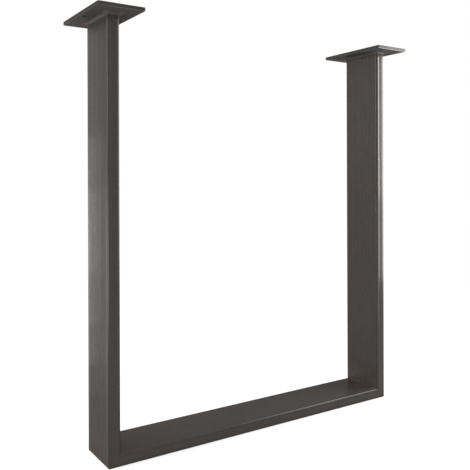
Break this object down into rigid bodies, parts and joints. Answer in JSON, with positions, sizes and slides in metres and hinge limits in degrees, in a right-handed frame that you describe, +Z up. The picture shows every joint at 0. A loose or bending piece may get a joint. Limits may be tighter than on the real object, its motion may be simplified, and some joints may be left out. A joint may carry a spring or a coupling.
{
  "type": "sled table leg",
  "caption": "U-shaped sled leg of flat rectangular steel tube, mitred and welded at the floor, with plates welded across the upright tops to screw under a table top.",
  "frame": {"origin": "on the floor, under the middle of the floor rail", "axes": "+Z up towards the table top, X along the floor rail, Y across the wide side of the tube"},
  "size_m": [0.657, 0.155, 0.71],
  "materials": {
    "tube_steel": "raw mill-finish steel under a satin clear lacquer",
    "plate_steel": "hot-rolled flat steel under a satin clear lacquer",
    "weld_steel": "brushed-off weld metal under a satin clear lacquer"
  },
  "bodies": {
    "root": {"floor_rail": "tube_steel", "left_upright": "tube_steel", "right_upright": "tube_steel", "left_mounting_plate": "plate_steel", "right_mounting_plate": "plate_steel", "left_plate_weld": "weld_steel", "right_plate_weld": "weld_steel", "left_corner_weld": "weld_steel", "right_corner_weld": "weld_steel"}
  },
  "joints": []
}
